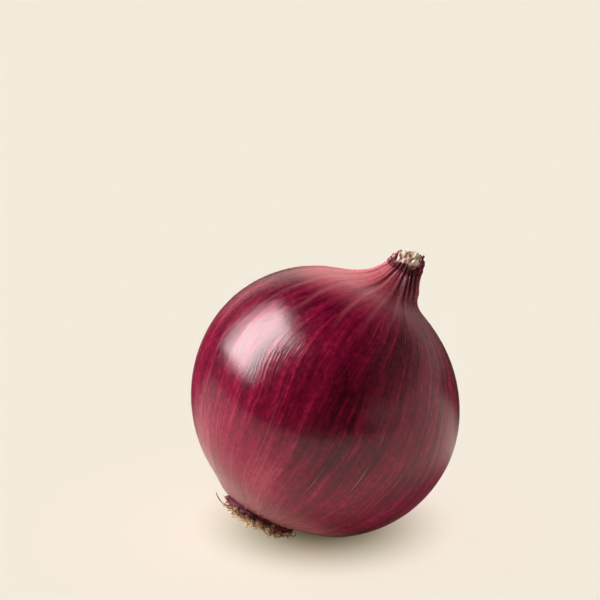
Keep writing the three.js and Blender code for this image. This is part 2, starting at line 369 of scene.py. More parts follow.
def makeBulbSkin():
    paint, tree, shader = newMaterial("dry red skin")
    f = bulbFinish
    streak = attribute(tree, "streak", "Vector")
    drift = noise(tree, streak, 1.8, 2, output="Color")
    drift = vectors(tree, "SUBTRACT", drift, (0.5, 0.5, 0.5))
    wavy = vectors(tree, "ADD", streak, stretched(tree, drift, (0.12, 0.12, 0.0)))
    calm = vectors(tree, "ADD", streak, stretched(tree, drift, (0.02, 0.02, 0.0)))
    spots = pieceSpots(tree)

    # Veins from the neck to the root, from wide patches down to fine lines, and a fine grain
    patch = noise(tree, stretched(tree, wavy, (2.2, 2.2, 1.2)), 1, 3)
    broad = noise(tree, stretched(tree, wavy, (11, 11, 0.8)), 1, 2)
    vein = noise(tree, stretched(tree, wavy, (31, 31, 0.8)), 1, 1.5)
    fine = noise(tree, stretched(tree, wavy, (72, 72, 1.7)), 1, 2)
    thread = noise(tree, stretched(tree, wavy, (170, 170, 4.5)), 1, 1)
    mottle = noise(tree, spots, 620, 4, 0.6)
    grain = noise(tree, spots, 2200, 2, 0.6)
    # The shade attribute darkens the tone: partly the skin's own deeper red, partly painted shade and
    # painted light
    tone = maths(tree, "SUBTRACT", f["firstTone"], attribute(tree, "shade"))
    tone = maths(tree, "ADD", tone, between(tree, vein, 0.44, 0.76, 0.0, f["veinTone"]))
    layers = (
        (patch, "patchTone"), (broad, "broadTone"), (fine, "fineTone"),
        (thread, "threadTone"), (mottle, "mottleTone"), (grain, "grainTone"),
    )
    for layer, share in layers:
        tone = maths(tree, "MULTIPLY_ADD", layer, f[share], maths(tree, "ADD", tone, -f[share] / 2))
    colour = ramp(tree, tone, [
        (0.0, f["deep"]), (0.20, f["maroon"]), (0.42, f["crimson"]), (0.64, f["rose"]), (0.95, f["pink"]),
    ])

    # Long pale hairlines, where the papery skin has creased
    hair = noise(tree, stretched(tree, calm, (100, 100, 0.5)), 1, 0)
    rare = noise(tree, stretched(tree, wavy, (7, 7, 2.2)), 1, 1)
    hair = maths(tree, "MULTIPLY", between(tree, hair, 0.72, 0.80), between(tree, rare, 0.50, 0.66))
    colour = mixed(tree, maths(tree, "MULTIPLY", hair, 0.34), colour, f["pale"])

    # Mauve near the root, pinker on one side of the neck (partly its own colour, partly painted light) and
    # painted shade in its grooves
    nearRoot = attribute(tree, "nearRoot")
    nearNeck = attribute(tree, "nearNeck")
    groove = attribute(tree, "groove")
    rib = attribute(tree, "rib")
    mauve = mixed(tree, between(tree, fine, 0.35, 0.65), f["dusk"], f["mauve"])
    colour = mixed(tree, maths(tree, "MULTIPLY", nearRoot, 0.8), colour, mauve)
    ridge = mixed(tree, between(tree, fine, 0.46, 0.68), f["maroon"], f["ridge"])
    colour = mixed(tree, maths(tree, "MULTIPLY", nearNeck, 0.6), colour, ridge)
    # Pinker on the neck's lit side: partly the skin's own colour, partly painted light
    flushAndPaintedLight = maths(tree, "MULTIPLY", attribute(tree, "flushAndPaintedLight"), between(tree, fine, 0.3, 0.55, 0.45, 0.95))
    colour = mixed(tree, flushAndPaintedLight, colour, f["flushAndPaintedLight"])
    # Painted shade, dark in the neck's grooves and all over the inside of the mouth
    colour = mixed(tree, maths(tree, "MULTIPLY", groove, 0.85), colour, f["groove"])
    colour = mixed(tree, maths(tree, "MULTIPLY", rib, 0.34), colour, f["pale"])
    tree.links.new(colour, shader.inputs["Base Color"])

    rough = maths(tree, "MULTIPLY_ADD", mottle, 0.14, f["roughness"] - 0.07)
    rough = maths(tree, "MULTIPLY_ADD", nearNeck, 0.08, rough)
    tree.links.new(rough, shader.inputs["Roughness"])
    shader.inputs["IOR"].default_value = f["gloss"]
    ribs = noise(tree, stretched(tree, wavy, (150, 150, 2.2)), 1, 2)
    height = maths(tree, "MULTIPLY_ADD", fine, 1.3, ribs)
    height = maths(tree, "MULTIPLY_ADD", grain, 0.25, height)
    bumped(tree, shader, height, f["bumpDepth"])
    return paint


looseFinish = dict(
    dark=(0.025, 0.001, 0.004),
    body=(0.09, 0.003, 0.011),
    light=(0.26, 0.02, 0.035),
    edge=(0.36, 0.10, 0.10),
    roughness=0.6, shine=0.25, bumpDepth=0.03 * mm,
)


def makeLooseSkin():
    paint, tree, shader = newMaterial("torn loose skin")
    f = looseFinish
    across = attribute(tree, "strip", "Vector")
    veins = noise(tree, stretched(tree, across, (60, 60, 2.5)), 1, 3)
    blotch = noise(tree, pieceSpots(tree), 650, 3)
    tone = maths(tree, "MULTIPLY_ADD", veins, 1.3, maths(tree, "MULTIPLY_ADD", blotch, 0.9, -0.62))
    colour = ramp(tree, tone, [(0.05, f["dark"]), (0.45, f["body"]), (0.95, f["light"])])
    torn = between(tree, attribute(tree, "torn"), 0.82, 1.0)
    colour = mixed(tree, maths(tree, "MULTIPLY", torn, 0.5), colour, f["edge"])
    tree.links.new(colour, shader.inputs["Base Color"])
    rough = maths(tree, "MULTIPLY_ADD", blotch, 0.2, f["roughness"] - 0.1)
    tree.links.new(rough, shader.inputs["Roughness"])
    shader.inputs["Specular IOR Level"].default_value = f["shine"]
    bumped(tree, shader, veins, f["bumpDepth"])
    return paint


leafFinish = dict(
    cream=(0.93, 0.81, 0.62),
    tan=(0.74, 0.56, 0.41),
    pink=(0.68, 0.38, 0.36),
    brown=(0.2, 0.08, 0.06),
    roughness=0.7, bumpDepth=0.07 * mm,
)


def makeLeafPaint(name, pinkness):
    paint, tree, shader = newMaterial(name)
    f = leafFinish
    across = attribute(tree, "strip", "Vector")
    fibres = noise(tree, stretched(tree, across, (16, 16, 1.6)), 1, 3)
    blotch = noise(tree, pieceSpots(tree), 750, 3)
    tone = maths(tree, "MULTIPLY_ADD", fibres, 1.2, maths(tree, "MULTIPLY_ADD", blotch, 0.9, -0.55))
    colour = ramp(tree, tone, [(0.1, f["brown"]), (0.42, f["tan"]), (0.75, f["cream"])])
    colour = mixed(tree, pinkness, colour, f["pink"])
    # Darker brown towards the foot of each leaf base
    footDarkening = between(tree, attribute(tree, "torn"), 0.0, 0.45, 1.0, 0.0)
    colour = mixed(tree, maths(tree, "MULTIPLY", footDarkening, 0.8), colour, f["brown"])
    tree.links.new(colour, shader.inputs["Base Color"])
    shader.inputs["Roughness"].default_value = f["roughness"]
    bumped(tree, shader, fibres, f["bumpDepth"])
    return paint


rootFinish = dict(
    pale=(0.93, 0.75, 0.50),
    tan=(0.66, 0.43, 0.24),
    brown=(0.28, 0.12, 0.065),
    dark=(0.05, 0.014, 0.010),
    roughness=0.75, bumpDepth=0.05 * mm,
)


def makeRootPaint(name, paleness):
    paint, tree, shader = newMaterial(name)
    f = rootFinish
    spots = pieceSpots(tree)
    blotch = noise(tree, spots, 420, 3)
    grain = noise(tree, spots, 2600, 2)
    tone = maths(tree, "MULTIPLY_ADD", grain, 0.35, paleness - 1.15)
    tone = maths(tree, "MULTIPLY_ADD", blotch, 2.0, tone)
    tone = maths(tree, "MULTIPLY_ADD", attribute(tree, "reach"), 0.28, tone)
    colour = ramp(tree, tone, [(0.05, f["dark"]), (0.28, f["brown"]), (0.55, f["tan"]), (0.85, f["pale"])])
    tree.links.new(colour, shader.inputs["Base Color"])
    shader.inputs["Roughness"].default_value = f["roughness"]
    bumped(tree, shader, grain, f["bumpDepth"])
    return paint


bulbSkin = makeBulbSkin()
looseSkin = makeLooseSkin()
leafCream = makeLeafPaint("dry leaf core", pinkness=0.0)
leafPink = makeLeafPaint("dry inner scales", pinkness=0.62)
rootTan = makeRootPaint("dry roots", paleness=0.22)
rootPale = makeRootPaint("pale root stubs", paleness=0.6)
plateBrown = makeRootPaint("corky root plate", paleness=-0.12)
print("materials ready")


def paintWith(piece, paint):
    piece.data.materials.clear()
    piece.data.materials.append(paint)


# The bulb; a shade is (heading, height, half width, half height, depth) of an area painted deeper or
# paler, partly the skin's own tone and partly painted shade and painted light
bulbShape = dict(
    aroundSteps=300,
    pocketGap=0.3,
    relief=0.055,
    reliefTurns=(3, 5, 7, 11, 14, 19, 24, 31, 38, 47, 58),
    tonesAndPaintedShade=(
        (-112, 8, 26, 15, 0.2),
        (-168, 27, 45, 7, 0.25),
        (-70, 24, 26, 12, 0.06),
        (60, 5, 40, 16, 0.14),
        (170, -8, 25, 14, 0.05),
        (-128, -9, 24, 8, 0.14),
        (-168, -23, 42, 12, -0.2),
        (-128, -27, 40, 9, -0.2),
        (-43, -31, 45, 7, 0.24),
    ),
)


def spunOutline(name, line, steps):
    deselectAll()
    bpy.ops.mesh.primitive_plane_add(size=1 * mm, location=(0, 0, 0))
    piece = bpy.context.object
    piece.name = name
    edit(piece)
    bpy.ops.mesh.merge(type="CENTER")
    bpy.ops.transform.translate(value=Vector((line[0][0], 0, line[0][1])) * mm)
    for (r0, h0), (r1, h1) in zip(line, line[1:]):
        step = Vector((r1 - r0, 0, h1 - h0)) * mm
        bpy.ops.mesh.extrude_region_move(TRANSFORM_OT_translate={"value": step})
    bpy.ops.mesh.select_all(action="SELECT")
    bpy.ops.mesh.spin(steps=steps, angle=math.tau, center=(0, 0, 0), axis=(0, 0, 1))
    doneEditing()
    cleaned(piece)
    return piece


def skinRelief(turn, along):
    # Shallow lengthwise unevenness; each wave fades in and out between root and neck
    total = np.zeros_like(turn)
    for waves in bulbShape["reliefTurns"]:
        start, slide, fade = chance.uniform(0, math.tau, 3)
        swing = np.cos(waves * turn + start + 0.5 * np.sin(2 * along + slide))
        total += swing * (0.55 + 0.45 * np.cos(1.7 * along + fade)) / waves**0.6
    return bulbShape["relief"] * total


def axisAt(height):
    # The middle that the skin's lines run round: it wanders more gently than the form does
    up = swayAt(np.minimum(height, 12))
    up = up + (onion["neckSway"] - up) * smoothStep(height, 12, 43)
    down = swayAt(np.maximum(height, -12))
    return np.where(height > 0, up, down + (onion["rootSway"] - down) * smoothStep(-height, 12, 38))


def skinToneAndPaintedShade(height, turn):
    # Large areas painted deeper red, partly the skin's own colour and partly painted shade; where their
    # depth is below 0 they are painted paler, as painted light
    total = 0
    for heading, middle, wide, tall, depth in bulbShape["tonesAndPaintedShade"]:
        away = np.degrees(np.angle(np.exp(1j * (turn - math.radians(heading)))))
        total = total + depth * np.exp(-(away / wide)**2 - ((height - middle) / tall)**2)
    return total


def makeBulb():
    back = plateBack + bulbShape["pocketGap"]
    pocket = [(0, back), (skinLine[0][0] * 0.5, back), (skinLine[0][0], back)]
    line = pocket + [tuple(spot) for spot in skinLine] + mouthOutline()
    piece = spunOutline("onionBulb", line, bulbShape["aroundSteps"])
    spots = pointsOf(piece) / mm
    ownTurn = np.arctan2(spots[:, 1], spots[:, 0])
    radius = np.hypot(spots[:, 0], spots[:, 1])
    height = spots[:, 2].copy()
    inMouth = (height > neckHeight) & (radius < mouthInside + 0.1)
    inPocket = (height < back + 0.05) & (height > back - 0.05) & (radius < skinLine[0][0] + 0.05)
    skin = ~inMouth & ~inPocket
    along = np.interp(np.arctan2(height, radius), skinTurns, skinLengths) / onion["radius"]
    x, y = swayed(spots[:, 0], spots[:, 1], height)
    axis = axisAt(height)
    turn = np.arctan2(y - axis * math.sin(swayTurn), x - axis * math.cos(swayTurn))
    relief = skinRelief(turn, along) * (1 - smoothStep(height, 36, 42)) * smoothStep(radius, 9, 16)
    outer = radius + skin * (relief + pleatShift(height, turn))
    shift = mouthShift(height, ownTurn)
    shift = np.where(inMouth, shift * radius / onion["mouthRadius"], shift)
    setVector(piece, "streak", np.stack([np.cos(turn), np.sin(turn), along], axis=1))
    setNumber(piece, "nearNeck", smoothStep(height, 27, 41))
    setNumber(piece, "nearRoot", smoothStep(-height, 27, 37.5))
    # The grooves and the whole inside of the mouth get painted shade
    groove = lineSum(grooveLines, height, turn) * smoothStep(height, 26, 43)
    setNumber(piece, "groove", np.where(inMouth, 1, groove))
    rib = lineSum(ribLines, height, turn) * smoothStep(height, 16, 40)
    setNumber(piece, "rib", np.where(inMouth, 0, rib * (1 - groove)))
    # Painted shade and painted light in the skin's tone, along with some of its own deeper red
    setNumber(piece, "shade", skinToneAndPaintedShade(height, turn))
    # Pinker on the neck's lit side: partly the skin's own colour, partly painted light
    flushAndPaintedLight = (0.5 + 0.5 * np.cos(turn - math.radians(pleats["fillHeading"])))**2.2
    setNumber(piece, "flushAndPaintedLight", flushAndPaintedLight * smoothStep(height, 27, 38))
    x, y = swayed(outer * np.cos(ownTurn), outer * np.sin(ownTurn), height)
    setPoints(piece, np.stack([x, y, height + shift], axis=1) * mm)
    unrolled = np.where(inMouth, bakeMap["mouth"] + (mouthInside - radius) / onion["radius"], along)
    addBakeMap(piece, ownTurn, unrolled, inPocket, radius)
    laidDown(piece)
    restOnGround(piece)
    paintWith(piece, bulbSkin)
    pick(piece)
    bpy.ops.object.shade_smooth()
    joinTo(piece, "bulb_skin", "bulb")
    return piece


# Where the unrolled skin lies on its map, as shares of the map and of the bulb's radius
bakeMap = dict(seam=0.68, foot=0.03, scale=0.24, pocketScale=0.0022, mouth=3.75)


def addBakeMap(piece, turn, along, inPocket, radius):
    # Unrolls the skin: round the bulb across the map, root to neck up it, seam at the far side
    across = np.mod(turn / math.tau + bakeMap["seam"], 1.0)
    pocketUp = bakeMap["pocketScale"] * (radius - skinLine[0][0])
    up = bakeMap["foot"] + np.where(inPocket, pocketUp, along * bakeMap["scale"])
    layer = piece.data.uv_layers.new(name="OFBake")
    spots = np.empty((len(piece.data.loops), 2))
    for face in piece.data.polygons:
        corners = list(face.vertices)
        u = across[corners].copy()
        onAxis = radius[corners] < 1e-3
        if np.ptp(u[~onAxis]) > 0.5:
            u[u < 0.5] += 1.0
        u[onAxis] = u[~onAxis].mean()
        spots[list(face.loop_indices), 0] = u / (1 + 1 / bulbShape["aroundSteps"])
        spots[list(face.loop_indices), 1] = up[corners]
    layer.data.foreach_set("uv", spots.ravel())


def restOnGround(piece):
    spots = pointsOf(piece)
    spots[:, 2] = np.maximum(spots[:, 2], 0)
    setPoints(piece, spots)


bulb = makeBulb()
print("bulb:", len(bulb.data.polygons), "faces")


# Torn flakes of skin round the neck, whose top edges roll outwards
flakes = dict(
    count=7, across=36, along=26, thickness=0.2, foot=2.3, length=3.3, cover=1.02, stand=0.1,
    reach=(1.0, 1.0, 1.0, 0.95, 1.22, 1.34, 1.2),
    lean=(0.0, 0.15, -0.3, 0.05, -0.25, 0.15, -0.1),
    roll=(0.36, 0.24, 0.36, 0.24, 0.3, 0.24, 0.34),
    rollStart=0.74, rollTurn=4.2,
)


def gridPiece(name, across, along):
    deselectAll()
    bpy.ops.mesh.primitive_grid_add(
        x_subdivisions=across, y_subdivisions=along, size=2 * mm, location=(0, 0, 0)
    )
    piece = bpy.context.object
    piece.name = name
    return piece


def gridShares(piece):
    # Each point's place on the grid: -1 to 1 across it, and 0 to 1 along it
    flat = pointsOf(piece) / mm
    return flat[:, 0], np.clip((flat[:, 1] + 1) / 2, 0, 1)


def finishSheet(piece, thickness, smoothing=1):
    pick(piece)
    wall = piece.modifiers.new("thickness", "SOLIDIFY")
    wall.thickness = thickness * mm
    wall.offset = 0
    if smoothing:
        soft = piece.modifiers.new("softened", "SUBSURF")
        soft.levels = smoothing
        soft.render_levels = smoothing
    applyAll(piece)
    bpy.ops.object.shade_smooth()


def jagged(x, seed, teeth):
    # A torn edge's height from 0 to 1: a few uneven steps with smaller ones on them
    rng = np.random.RandomState(seed)
    total = 0
    for count, size in ((teeth, 0.6), (teeth * 3, 0.4)):
        marks = np.concatenate(([-1.01], np.sort(rng.uniform(-1, 1, count)), [1.01]))
        total = total + size * np.interp(x, marks, rng.uniform(0, 1, len(marks)))
    return total


def makeFlake(index):
    f = flakes
    spacing = math.tau / f["count"]
    middle = (index + 0.5) * spacing + 0.08 * math.sin(index * 2.4)
    piece = gridPiece(f"neckFlake{index + 1:02d}", f["across"], f["along"])
    a, b = gridShares(piece)
    torn = 0.66 + 0.34 * jagged(a, 40 + index, 9)
    start = mouthHeight - f["foot"] * (1 + 0.15 * math.sin(index * 3.1))
    length = f["length"] * f["reach"][index] * (1 + 0.12 * math.sin(index * 1.9 + 1))
    height = start + length * b * torn - 0.6 * (1 - b) * jagged(a, 60 + index, 4)
    turn = middle + a * spacing / 2 * f["cover"] * (1 - 0.15 * b)
    over = np.maximum(0, height - mouthHeight)
    crumple = 0.10 * np.sin(9 * a + index) * b + 0.08 * np.sin(15 * b + 4 * a + index * 2)
    outside = f["stand"] + f["lean"][index] * b**3 - 0.3 * over + crumple
    # The torn top edge rolls outwards
    size = f["roll"][index] * (0.45 + 0.75 * jagged(a, 20 + index, 5))
    curl = np.maximum(0, b - f["rollStart"]) / (1 - f["rollStart"]) * f["rollTurn"]
    rolled = np.minimum(b, f["rollStart"]) - b
    height = height + length * rolled * torn + size * np.sin(curl)
    outside = outside + size * (1 - np.cos(curl)) * 0.8
    setPoints(piece, skinPoint(height, turn, outside) * mm)
    setVector(piece, "strip", np.stack([np.cos(turn), np.sin(turn), height / 40], axis=1))
    setNumber(piece, "torn", b)
    finishSheet(piece, f["thickness"])
    laidDown(piece)
    cleaned(piece)
    paintWith(piece, looseSkin)
    joinTo(piece, "loose_skin", f"neck_flake_{index + 1:02d}")


for flakeIndex in range(flakes["count"]):
    makeFlake(flakeIndex)
print("neck flakes done")


# Dried leaf bases in the mouth, with thin dried scales round and between them
leaves = dict(
    count=4, height=4.5, gap=0.3, shift=0.35,
    size=(1.0, 0.92, 0.95, 0.98),
    tall=(1.0, 0.97, 0.78, 0.8),
)
scales = dict(
    count=16, coreCount=5, coreRise=0.6, radius=3.05, depth=1.9, thickness=0.12, across=18, along=10,
)


def makeLeafBase(index):
    f = leaves
    half = math.sin(math.pi / f["count"])
    widest = ((mouthInside - f["gap"]) * half - f["gap"] / 2) / (1 + half)
    ring = mouthInside - f["gap"] - widest
    heading = (index + 0.35) / f["count"] * math.tau
    deselectAll()
    bpy.ops.mesh.primitive_uv_sphere_add(segments=56, ring_count=36, radius=1 * mm, location=(0, 0, 0))
    piece = bpy.context.object
    piece.name = f"leafBase{index + 1:02d}"
    ball = pointsOf(piece) / mm
    x, y, z = ball.T
    own = np.arctan2(y, x)
    bottom = mouthHeight - onion["mouthDepth"] + mouthSlant(heading, ring) + f["gap"]
    tall = f["height"] * f["tall"][index]
    fold = 0.14 * np.sin(5 * own + index) + 0.09 * np.sin(11 * own + 2 * index + 2 * z)
    crumple = 0.06 * np.sin(17 * own + 3 * z) + 0.06 * np.sin(7 * z + own * 2)
    narrowing = (0.95 - 0.1 * z) * (1 + fold + crumple) * f["size"][index]
    tip = (z > 0) * (0.22 * np.sin(5 * x + index) * np.cos(6 * y + index) + 0.12 * np.sin(13 * x + 9 * y))
    px = ring * math.cos(heading) + x * widest * narrowing + f["shift"] * math.cos(swayTurn)
    py = ring * math.sin(heading) + y * widest * narrowing + f["shift"] * math.sin(swayTurn)
    pz = bottom + (np.clip(z, -1, 0.75) + 1) / 2 * tall + tip
    sx, sy = swayed(px, py, np.full_like(px, mouthHeight))
    setPoints(piece, np.stack([sx, sy, pz], axis=1) * mm)
    setVector(piece, "strip", np.stack([np.cos(own), np.sin(own), z + index * 3], axis=1))
    setNumber(piece, "torn", (z + 1) / 2)
    laidDown(piece)
    cleaned(piece)
    pick(piece)
    bpy.ops.object.shade_smooth()
    paintWith(piece, leafPink if index == 2 else leafCream)
    joinTo(piece, "leaf_base", f"leaf_base_{index + 1:02d}")


def makeInnerScales():
    # Most scales stand between the leaf bases and the rim; the last few curl at the core, a bit taller
    f = scales
    outerCount = f["count"] - f["coreCount"]
    pieces = []
    for index in range(f["count"]):
        piece = gridPiece(f"innerScale{index + 1:02d}", f["across"], f["along"])
        a, b = gridShares(piece)
        middle = index / outerCount * math.tau + chance.uniform(-0.15, 0.15)
        wide = chance.uniform(0.3, 0.55)
        radius = f["radius"] + chance.uniform(-0.25, 0.3)
        extra = 0.0
        if index >= outerCount:
            middle = index * goldenTurn
            wide = 1.0
            radius = chance.uniform(0.35, 1.1)
            extra = f["coreRise"]
        turn = middle + a * wide
        top = chance.uniform(0.5, 1.5)
        tall = f["depth"] + top * (0.3 + 0.7 * jagged(a, 90 + index, 4)) + extra
        height = mouthHeight - f["depth"] + tall * b
        out = radius - 0.25 * b * chance.uniform(-1, 1.5) + 0.07 * np.sin(8 * a + index)
        x, y = swayed(out * np.cos(turn), out * np.sin(turn), np.full_like(out, mouthHeight))
        setPoints(piece, np.stack([x, y, height + mouthSlant(turn, radius)], axis=1) * mm)
        setVector(piece, "strip", np.stack([np.cos(turn) * 3, np.sin(turn) * 3, height / 20], axis=1))
        setNumber(piece, "torn", b)
        finishSheet(piece, f["thickness"], 0)
        pieces.append(piece)
    whole = joined(pieces, "innerNeckScales")
    laidDown(whole)
    cleaned(whole)
    paintWith(whole, leafPink)
    joinTo(whole, "leaf_base")


def joined(pieces, name):
    deselectAll()
    for piece in pieces:
        piece.select_set(True)
    bpy.context.view_layer.objects.active = pieces[0]
    bpy.ops.object.join()
    pieces[0].name = name
    return pieces[0]


for leafIndex in range(leaves["count"]):
    makeLeafBase(leafIndex)
makeInnerScales()
print("leaf bases done")


# The corky plate at the foot that the roots grow from
plate = dict(rings=26, around=96, rough=0.28, clearance=0.2)


def makeRootPlate():
    f = plate
    line = [(0, plateBack), (onion["plateRadius"], plateBack)]
    for share in np.linspace(1, 0, f["rings"]):
        face = onion["plateThickness"] - onion["plateCrown"] * share**2
        line.append((onion["plateRadius"] * share, plateBack - face))
    piece = spunOutline("rootPlate", line, f["around"])
    spots = pointsOf(piece) / mm
    x, y, z = spots.T
    turn, radius = np.arctan2(y, x), np.hypot(x, y)
    outer = z < plateBack - 0.2
    cork = np.sin(2.3 * x + 1) * np.sin(2.1 * y) + 0.6 * np.sin(5.1 * x + 2 * y) * np.sin(4.3 * y - x)
    z = z + outer * f["rough"] * (0.5 * cork - 0.2) * smoothStep(radius, 10.5, 9)
    radius = radius * (1 - 0.01 * (1 + np.sin(9 * turn)))
    sx, sy = swayed(radius * np.cos(turn), radius * np.sin(turn), np.full_like(z, -onion["foot"]))
    setPoints(piece, np.stack([sx, sy, z], axis=1) * mm)
    setNumber(piece, "reach", np.zeros(len(z)))
    laidDown(piece)
    edit(piece)
    cut = (0, 0, f["clearance"] * mm)
    bpy.ops.mesh.bisect(plane_co=cut, plane_no=(0, 0, 1), use_fill=True, clear_inner=True)
    doneEditing()
    pick(piece)
    bpy.ops.object.shade_smooth()
    paintWith(piece, plateBrown)
    joinTo(piece, "root_plate", "root_plate")


makeRootPlate()
print("root plate done")


# Torn skin round the root plate: long strips, and small shreds between them
rootSkins = dict(
    count=7, spread=230, cover=0.92, length=2.2, across=30, along=10, thickness=0.15,
    lean=(0.2, 0.5, 0.0, 0.4, -0.1, 0.5, 0.1), lowest=0.2,
    shreds=44, shredThickness=0.14, shredSteps=6,
)


def rootSkinSheet(name, middle, half, length, lean, seed, across, along):
    piece = gridPiece(name, across, along)
    a, b = gridShares(piece)
    turn = middle + a * half * (1 - 0.2 * b)
    torn = 0.35 + 0.65 * jagged(a, seed, 6)
    wrinkle = 0.18 * np.sin(7 * a + seed) * b + 0.12 * np.sin(3 * a + 9 * b + seed)
    radius = onion["plateRadius"] + 0.55 + lean * b**1.5 + wrinkle
    height = -onion["foot"] + 1.25 - length * b * torn
    x, y = swayed(radius * np.cos(turn), radius * np.sin(turn), np.full_like(height, -onion["foot"]))
    setPoints(piece, np.stack([x, y, height], axis=1) * mm)
    setVector(piece, "strip", np.stack([np.cos(turn), np.sin(turn), height / 40], axis=1))
    setNumber(piece, "torn", b)
    return piece


def keepOffGround(piece):
    # What would reach below the gap is pressed nearly flat just under it
    spots = pointsOf(piece)
    gap = onion["groundGap"] * mm
    low = spots[:, 2] < gap
    spots[low, 2] = gap + (spots[low, 2] - gap) * 0.02
    spots[:, 2] = np.maximum(spots[:, 2], rootSkins["lowest"] * mm)
    setPoints(piece, spots)


def makeRootSkin(index):
    f = rootSkins
    spacing = math.radians(f["spread"]) / f["count"]
    middle = math.pi + (index - (f["count"] - 1) / 2) * spacing
    half = spacing / 2 * f["cover"]
    length = f["length"] * (1 + 0.25 * math.sin(index * 2.1))
    name = f"rootSkin{index + 1:02d}"
    lean = f["lean"][index]
    piece = rootSkinSheet(name, middle, half, length, lean, 200 + index, f["across"], f["along"])
    finishSheet(piece, f["thickness"])
    laidDown(piece)
    keepOffGround(piece)
    cleaned(piece)
    paintWith(piece, looseSkin)
    joinTo(piece, "loose_skin", f"root_skin_{index + 1:02d}")


def makeShreds():
    # Small curled shreds between and outside the longer strips
    f = rootSkins
    steps = f["shredSteps"]
    pieces = []
    for index in range(f["shreds"]):
        middle = chance.uniform(math.radians(50), math.radians(310))
        half = chance.uniform(0.03, 0.09)
        length = chance.uniform(0.8, 2.3)
        lean = chance.uniform(-1.0, 0.6)
        piece = rootSkinSheet("shred", middle, half, length, lean, 300 + index, steps, steps)
        lift = np.array([0, 0, chance.uniform(-0.2, 0.5) * mm])
        setPoints(piece, pointsOf(piece) + lift)
        finishSheet(piece, f["shredThickness"], 0)
        pieces.append(piece)
    whole = joined(pieces, "rootSkinShreds")
    laidDown(whole)
    keepOffGround(whole)
    cleaned(whole)
    paintWith(whole, looseSkin)
    joinTo(whole, "loose_skin")


for skinIndex in range(rootSkins["count"]):
    makeRootSkin(skinIndex)
makeShreds()
print("root skins done")


# Dry roots: thick ones, one long stray one, fine fibres and broken stubs
roots = dict(count=26, thickness=0.9, tip=0.5, length=5.0, margin=2.2, points=13, curl=1.5)
strayRoot = dict(thickness=0.5, tip=0.28, out=0.6, reach=6.4, rise=2.9, points=9)
fineRoots = dict(count=230, thickness=0.5, tip=0.16, length=4.3, out=1.8, points=11)
stubs = dict(count=22, thickness=1.25, tip=0.9, spread=1.9, curl=0.25, swerve=0.1, points=5)
rootField = onion["plateRadius"] - roots["margin"]


def plateFace(radius):
    return onion["plateThickness"] - onion["plateCrown"] * min(1, radius / onion["plateRadius"])**2


def besidePlate(reach, side, turn, height):
    x = plateOff.x + reach * math.cos(turn) - side * math.sin(turn)
    y = plateOff.y + reach * math.sin(turn) + side * math.cos(turn)
    return Vector((x, y, height))


def rootPath(radius, heading, length, splay, curl, swerve, count):
    # A wavering way out of the plate: splay leans it outwards, swerve turns it aside
    start = plateBack - plateFace(radius) + 0.3
    phase = chance.uniform(0, math.tau)
    pace = chance.uniform(1.6, 3.6)
    lift = chance.uniform(0, math.tau)
    spots = []
    for share in np.linspace(0, 1, count):
        tilt = splay * (0.55 + 0.45 * share)
        turn = heading + swerve * share**2
        wave = curl * share * math.sin(lift + pace * share * 2.6)
        reach = radius + length * share * math.sin(tilt) + wave
        side = curl * share * math.sin(phase + pace * share * math.pi)
        drop = length * share * math.cos(tilt) + 0.4 * curl * share * math.cos(lift + pace * 3 * share)
        spots.append(besidePlate(reach, side, turn, start - drop))
    return spots


def fibres(name, paths, thickness, tip, sides, resolution):
    # Every path becomes a tapering round fibre, kept just off the ground
    deselectAll()
    bpy.ops.curve.primitive_nurbs_path_add(radius=1 * mm, location=(0, 0, 0))
    piece = bpy.context.object
    piece.name = name
    strand = piece.data
    strand.splines.clear()
    for path, size in paths:
        spline = strand.splines.new("NURBS")
        spline.points.add(len(path) - 1)
        for point, spot in zip(spline.points, path):
            place = asItLies @ (spot * mm)
            place.z = max(place.z, (onion["groundGap"] + thickness * size / 2) * mm)
            point.co = (*place, 1)
        for step, point in enumerate(spline.points):
            share = step / (len(path) - 1)
            point.radius = size * (1 - (1 - tip / thickness) * share**1.4)
        spline.use_endpoint_u = True
        spline.order_u = 4
    strand.dimensions = "3D"
    strand.bevel_depth = thickness / 2 * mm
    strand.bevel_resolution = sides
    strand.resolution_u = resolution
    strand.use_fill_caps = True
    pick(piece)
    bpy.ops.object.convert(target="MESH")
    piece = bpy.context.object
    inside = np.array([upright @ Vector(spot) for spot in pointsOf(piece)]) / mm
    setNumber(piece, "reach", np.clip((plateBack - 1 - inside[:, 2]) / roots["length"], 0, 1))
    cleaned(piece, 0.00002 * mm)
    pick(piece)
    bpy.ops.object.shade_smooth()
    return piece


def makeRoots():
    f = roots
    for index in range(f["count"]):
        spread = math.sqrt((index + 0.5) / f["count"])
        length = f["length"] * (1 + 0.22 * math.sin(index * 2.4 + 12.5))
        splay = math.radians(10 + 26 * spread)
        swerve = chance.uniform(-0.35, 0.35)
        heading = index * goldenTurn
        path = rootPath(rootField * spread, heading, length, splay, f["curl"], swerve, f["points"])
        size = chance.uniform(0.7, 1.1)
        piece = fibres(f"root{index + 1:02d}", [(path, size)], f["thickness"], f["tip"], 2, 4)
        paintWith(piece, rootTan)
        joinTo(piece, "root", f"root_{index + 1:02d}")


def makeStrayRoot():
    f = strayRoot
    heading = math.pi - math.radians(rootSkins["spread"]) / rootSkins["count"] / 2
    start = rootField + f["out"]
    face = plateBack - plateFace(start)
    spots = []
    for share in np.linspace(0, 1, f["points"]):
        dip = f["rise"] * math.sin(0.8 + 2.2 * share) + 0.5 * share**2
        side = 0.25 * math.sin(7 * share)
        spots.append(besidePlate(start + f["reach"] * share, side, heading, face - dip))
    piece = fibres("strayRoot", [(spots, 1.0)], f["thickness"], f["tip"], 2, 5)
    paintWith(piece, rootTan)
    joinTo(piece, "root", "root_stray")


